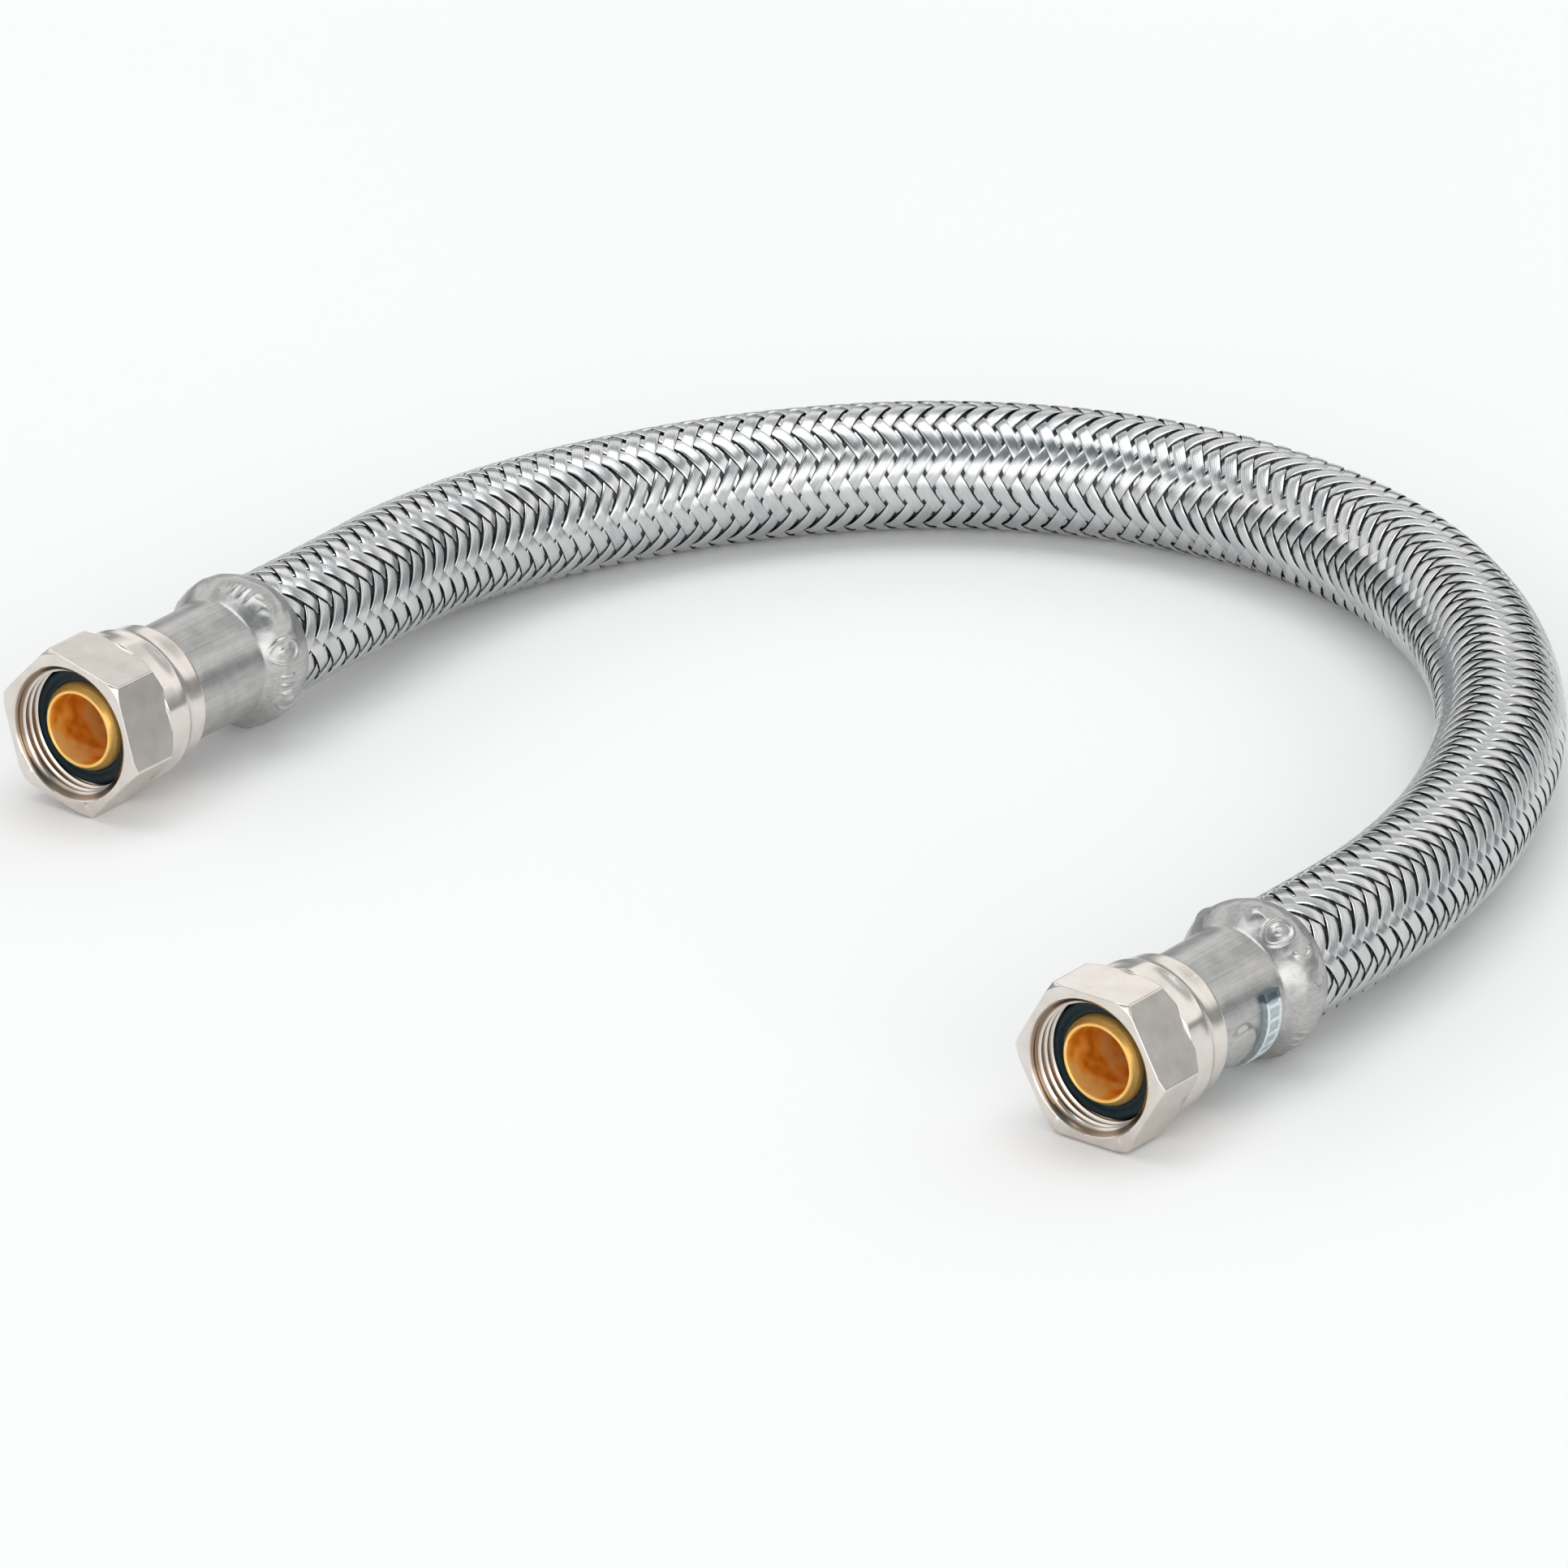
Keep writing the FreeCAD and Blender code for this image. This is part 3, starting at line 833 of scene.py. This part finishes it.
def nipple_mesh(end, brass, bore):
    """Brass tube with a rounded nose, a flange, and a stem with barbs that the hose is pushed on."""
    corners = [
        (NIPPLE_BORE_RADIUS, 3.3),
        (NIPPLE_BORE_RADIUS, 2.95, 0.2),
        (7.45, 2.8, 0.2),
        (7.8, 2.85, 0.3),
        (8.8, 4.2, 0.7),
        (8.98, 5.0, 0.4),
        (8.98, 7.65, 0.1),
        (11.75, 7.65, 0.15),
        (11.75, 10.65, 0.15),
        (10.2, 10.65, 0.1),
        (10.2, 25.3, 0.1),
        (9.65, 25.3, 0.05),
        (9.65, 25.9, 0.05),
        (9.0, 25.9, 0.05),
    ]
    for barb in range(BARBS):
        start = HOSE_END + barb * BARB_PITCH
        corners += [(9.0, start, 0.1), (8.7, start, 0.05)]
    corners += [
        (9.0, 47.0, 0.2),
        (8.1, 49.5, 0.2),
        (NIPPLE_BORE_RADIUS, 49.5, 0.2),
    ]
    mesh = turned_mesh(f"nipple_{end}_turned", corners)
    mesh.materials.append(brass)
    mesh.materials.append(bore)
    bore_limit = NIPPLE_BORE_RADIUS + 0.05
    for face in mesh.polygons:
        spots = [mesh.vertices[index].co for index in face.vertices]
        if all(math.hypot(spot.x, spot.y) < bore_limit * MM for spot in spots):
            face.material_index = 1
    return mesh


# ---------------------------------------------------------------- ferrules
FERRULE_COLUMNS = 440
FERRULE_ROW = 0.30
WAIST_RADIUS = 12.1
WAIST_END = 44.6
BEAD_RADIUS = 15.2
# The crimping jaws: how many, where the first left its ridge, and what they did to the waist.
JAWS = 10
FIRST_RIDGE = -7
RIDGE_HEIGHT = 0.035
RIDGE_HALF_WIDTH = 1.5
SQUEEZE = 0.012
# Dents come from noise of two sizes, deeper on the bead than elsewhere.
DENT_SIZES = (3.4, 1.5)
DENT_SEEDS = {"a": 11.0, "b": 37.0}
DENT_DEPTH = 0.02
BEAD_DENT_DEPTH = 0.13
# The oval pad that stands up from ferrule B's waist.
PAD_ANGLE = 200
PAD_HALF_ANGLE = 24
PAD_STATION = 31.5
PAD_HALF_LENGTH = 4.6
PAD_HEIGHT = 0.9
MARK_HEIGHT = 0.42
MARK_LINE = 0.28
RING_RADIUS = 2.5
ARC_RADIUS = 1.5
BAR_PLACES = (-1.9, 0.0, 1.9)
# Blank raised marks on the bead, as (kind, angle, station).
MARKS = {
    "a": [
        ("ring", 163, 48.4),
        ("bars", 190, 48.6),
        ("lozenge", 126, 48.6),
        ("bars", 104, 48.4),
        ("ring", 205, 50.2),
        ("lozenge", 262, 50.4),
        ("ring", 318, 50.2),
        ("bars", 20, 50.4),
    ],
    "b": [
        ("ring", 122, 48.4),
        ("lozenge", 98, 48.6),
        ("arc", 142, 50.2),
        ("bars", 214, 49.2),
        ("arc", 168, 52.0),
        ("ring", 250, 50.2),
        ("bars", 310, 50.2),
        ("lozenge", 40, 50.4),
    ],
}


def mark_height(kind, beside, along):
    """Height of a raised mark, at distances in millimetres from its middle."""
    distance = np.hypot(beside, along * 0.85)
    if kind == "ring":
        stud = smooth_step(-1.1, -0.6, -distance)
        return MARK_HEIGHT * (np.exp(-((distance - RING_RADIUS) / MARK_LINE) ** 2) + 0.8 * stud)
    if kind == "arc":
        shown = smooth_step(-0.4, 0.4, beside)
        return MARK_HEIGHT * shown * np.exp(-((distance - ARC_RADIUS) / MARK_LINE) ** 2)
    if kind == "lozenge":
        return MARK_HEIGHT * 1.3 * np.exp(-((np.abs(beside) / 2.4 + np.abs(along) / 1.5) ** 3))
    bars = sum(np.exp(-((beside - place) / MARK_LINE) ** 2) for place in BAR_PLACES)
    return MARK_HEIGHT * bars * np.exp(-(along / 1.5) ** 4)


def ferrule_relief(end, angles, outline):
    """What crimping, dents and marks add to the ferrule's radius, for each angle and point."""
    angle = angles[:, None]
    radius, station = outline[None, :, 0], outline[None, :, 1]
    waist = smooth_step(26.5, 29, station) * (1 - smooth_step(42.5, 44.2, station))
    from_ridge = from_nearest(angle - FIRST_RIDGE, 360 / JAWS)
    ridge = RIDGE_HEIGHT * np.exp(-(from_ridge / RIDGE_HALF_WIDTH) ** 2)
    crimp = ridge - SQUEEZE * np.cos(np.radians(from_ridge * JAWS))
    turn = np.radians(angle)
    spots = np.stack(np.broadcast_arrays(
        radius * np.cos(turn), radius * np.sin(turn), station), axis=-1)
    seed = Vector((0.0, 0.0, DENT_SEEDS[end]))
    coarse, fine = DENT_SIZES
    dents = np.array([
        noise.noise(Vector(spot) / coarse + seed) + 0.5 * noise.noise(Vector(spot) / fine - seed)
        for spot in spots.reshape(-1, 3)
    ]).reshape(spots.shape[:2])
    bead = smooth_step(WAIST_END, 47, station) * (1 - smooth_step(54.8, 56.2, station))
    relief = crimp * waist + dents * (DENT_DEPTH + BEAD_DENT_DEPTH * bead)
    for kind, mark_angle, mark_station in MARKS[end]:
        beside = np.radians(from_nearest(angle - mark_angle, 360)) * BEAD_RADIUS
        relief += bead * mark_height(kind, beside, station - mark_station)
    if end == "b":
        pad = np.hypot(from_nearest(angle - PAD_ANGLE, 360) / PAD_HALF_ANGLE,
                       (station - PAD_STATION) / PAD_HALF_LENGTH)
        relief += PAD_HEIGHT * (1 - smooth_step(0.78, 1.05, pad))
    return relief


def ferrule_mesh(end):
    """Thin steel sleeve: closed-in front, crimped waist, dented bead, and rolled rear lip."""
    outside = subdivided(rounded([
        (9.75, 25.32),
        (11.6, 25.32, 0.3),
        (WAIST_RADIUS, 26.2, 0.5),
        (WAIST_RADIUS + 0.05, 35.0, 2.0),
        (WAIST_RADIUS + 0.1, WAIST_END, 0.5),
        (14.4, 47.4, 1.2),
        (BEAD_RADIUS, 49.6, 1.4),
        (BEAD_RADIUS, 52.4, 1.6),
        (14.1, 55.1, 1.2),
        (13.6, 56.0, 0.5),
        (13.3, 56.5, 0.3),
        (12.8, 56.45, 0.2),
        (12.72, 55.9),
    ], steps=4), FERRULE_ROW, fine_from=WAIST_END - 1.0)
    inside = np.array([
        (14.5, 53.0),
        (14.5, 49.4),
        (11.55, 45.0),
        (11.55, 26.0),
        (9.75, 25.95),
    ])
    angles = np.linspace(0, 360, FERRULE_COLUMNS, endpoint=False)
    outlines = np.repeat(np.concatenate([outside, inside])[None], FERRULE_COLUMNS, axis=0)
    outlines[:, :len(outside), 0] += ferrule_relief(end, angles, outside)
    vertices = lathed(angles, outlines)
    quads = grid_faces(*outlines.shape[:2], close_columns=True, close_rows=True)
    return make_mesh(f"ferrule_{end}_crimped", vertices.reshape(-1, 3), quads)


# ---------------------------------------------------------------- date band
STRIP_MIDDLE = 215.0
STRIP_SWEEP = 112.0
STRIP_START = 37.8
STRIP_WIDTH = 4.4
STRIP_THICKNESS = 1.3
STRIP_CELLS = 9
STRIP_COLUMNS = 200
CELL_DEPTH = 0.3


def date_band_mesh():
    """Narrow strip bent round the waist, with a row of blank cells pressed into it."""
    angles = STRIP_MIDDLE + np.linspace(-0.5, 0.5, STRIP_COLUMNS) * STRIP_SWEEP
    # The section, as shares of the width and depths below the rims.
    share = np.array(
        [0.0, 0.0, 0.03, 0.08, 0.14, 0.19, 0.5, 0.81, 0.86, 0.92, 0.97, 1.0, 1.0, 0.5])
    top = STRIP_THICKNESS - np.array(
        [1.25, 0.14, 0.04, 0.0, 0.0, 0.0, 0.0, 0.0, 0.0, 0.0, 0.04, 0.14, 1.25, 1.25])
    cell = np.linspace(0, STRIP_CELLS, STRIP_COLUMNS) % 1
    in_cell = smooth_step(0.10, 0.17, cell) * (1 - smooth_step(0.83, 0.90, cell))
    between_rims = ((share > 0.15) & (share < 0.85) & (top > 0.5)).astype(float)
    pressed = CELL_DEPTH * in_cell[:, None] * between_rims[None, :]
    radius = WAIST_RADIUS + top[None, :] - pressed
    station = STRIP_START + STRIP_WIDTH * share[None, :]
    outlines = np.stack(np.broadcast_arrays(radius, station), axis=-1)
    vertices = lathed(angles, outlines)
    rows = len(share)
    quads = grid_faces(STRIP_COLUMNS, rows, close_rows=True)
    caps = [list(range(rows)), list(range((STRIP_COLUMNS - 1) * rows, STRIP_COLUMNS * rows))]
    mesh = bpy.data.meshes.new("date_band_b_strip")
    mesh.from_pydata((vertices.reshape(-1, 3) * MM).tolist(), [], quads.tolist() + caps)
    out = bmesh.new()
    out.from_mesh(mesh)
    bmesh.ops.recalc_face_normals(out, faces=out.faces)
    out.to_mesh(mesh)
    out.free()
    mesh.shade_smooth()
    mesh.set_sharp_from_angle(angle=math.radians(40))
    return mesh


def make_fittings():
    """Nut, gasket, nipple and ferrule at each end, and the strip on ferrule B."""
    nickel = nickel_material()
    rubber = gasket_material()
    brass = brass_material()
    bore = bore_material()
    steel = ferrule_material()
    for end in "ab":
        place = fitting_place(end)
        nut = add_piece(f"nut_{end}_threaded", nut_mesh(end), nickel, "nickel_plate",
                        f"nut_{end}", [f"coupling_nut_{end}"], place)
        keep_flats_flat(nut)
        add_piece(f"gasket_{end}_ring", gasket_mesh(end), rubber, "gasket_rubber", "hose",
                  [f"gasket_{end}"], place)
        nipple = add_piece(f"nipple_{end}_turned", nipple_mesh(end, brass, bore), None, "brass",
                           "hose", [f"nipple_{end}"], place)
        keep_flats_flat(nipple)
        add_piece(f"ferrule_{end}_crimped", ferrule_mesh(end), steel, "ferrule_steel", "hose",
                  [f"ferrule_{end}"], place)
    add_piece("date_band_b_strip", date_band_mesh(), band_material(), "band_metal", "hose",
              ["date_band_b"], fitting_place("b"))


# ---------------------------------------------------------------- floor and light
FLOOR_HALF = 4.0


def make_floor():
    """A wide, pale, matt floor."""
    half = FLOOR_HALF
    mesh = bpy.data.meshes.new("floor")
    corners = [(-half, -half, 0), (half, -half, 0), (half, half, 0), (-half, half, 0)]
    mesh.from_pydata(corners, [], [(0, 1, 2, 3)])
    floor = bpy.data.objects.new("floor", mesh)
    bpy.context.scene.collection.objects.link(floor)
    material, tree, shader = new_material("floor_matt", 0.0, Roughness=0.9)
    shader.inputs["Specular IOR Level"].default_value = 0.1
    cloud = noise_node(tree, scaled_coordinates(tree, (1, 1, 1)), 0.004, detail=1.0)
    pale = ramp_node(tree, cloud, [(0.3, (0.93, 0.93, 0.93)), (0.7, (0.945, 0.945, 0.945))])
    tree.links.new(pale, shader.inputs["Base Color"])
    mesh.materials.append(material)


# Brightness of the studio by height above the horizon in degrees: on the camera's side of the
# object, and everywhere else.
STUDIO_FRONT = [
    (0, (1.1, 1.1, 1.1)),
    (4, (2.1, 2.1, 2.1)),
    (25, (2.1, 2.1, 2.1)),
    (33, (1.1, 1.1, 1.1)),
    (41, (0.16, 0.20, 0.21)),
    (77, (0.16, 0.20, 0.21)),
    (85, (2.2, 2.2, 2.2)),
]
STUDIO_BACK = [
    (0, (0.30, 0.32, 0.33)),
    (14, (0.32, 0.34, 0.35)),
    (21, (1.20, 1.19, 1.18)),
    (35, (1.20, 1.19, 1.18)),
    (43, (0.50, 0.52, 0.53)),
    (57, (0.60, 0.62, 0.63)),
    (64, (2.25, 2.25, 2.25)),
]
BRIGHTEST = 2.25
# How squarely a direction faces the camera where the camera's side starts and where it is full.
FRONT_START = 0.45
FRONT_FULL = 0.75


def make_studio():
    """Soft light from all round.

    The camera's side has a dim gap high up. The rest is dim low down and again halfway up.
    """
    world = bpy.data.worlds.new("studio")
    bpy.context.scene.world = world
    world.use_nodes = True
    tree = world.node_tree
    coordinates = tree.nodes.new("ShaderNodeTexCoord")
    direction = coordinates.outputs["Generated"]
    height = math_node(tree, "ARCSINE", split_vector(tree, direction)["Z"])
    share = math_node(tree, "DIVIDE", height, math.pi / 2)
    walls = [
        ramp_node(tree, share, [
            (degrees / 90, tuple(channel / BRIGHTEST for channel in colour))
            for degrees, colour in stops
        ])
        for stops in (STUDIO_BACK, STUDIO_FRONT)
    ]
    facing = tree.nodes.new("ShaderNodeVectorMath")
    facing.operation = "DOT_PRODUCT"
    facing.inputs[1].default_value = (math.sin(VIEW_AZIMUTH), -math.cos(VIEW_AZIMUTH), 0.0)
    tree.links.new(direction, facing.inputs[0])
    side = tree.nodes.new("ShaderNodeMapRange")
    side.interpolation_type = "SMOOTHSTEP"
    side.inputs["From Min"].default_value = FRONT_START
    side.inputs["From Max"].default_value = FRONT_FULL
    level_part = math_node(tree, "COSINE", height)
    turned = math_node(tree, "DIVIDE", facing.outputs["Value"], level_part)
    tree.links.new(turned, side.inputs["Value"])
    background = tree.nodes["Background"]
    tree.links.new(mix_node(tree, side.outputs["Result"], *walls), background.inputs["Color"])
    background.inputs["Strength"].default_value = BRIGHTEST
    bpy.context.scene.view_settings.view_transform = "Standard"


make_camera()
make_floor()
make_studio()
make_hose()
make_fittings()
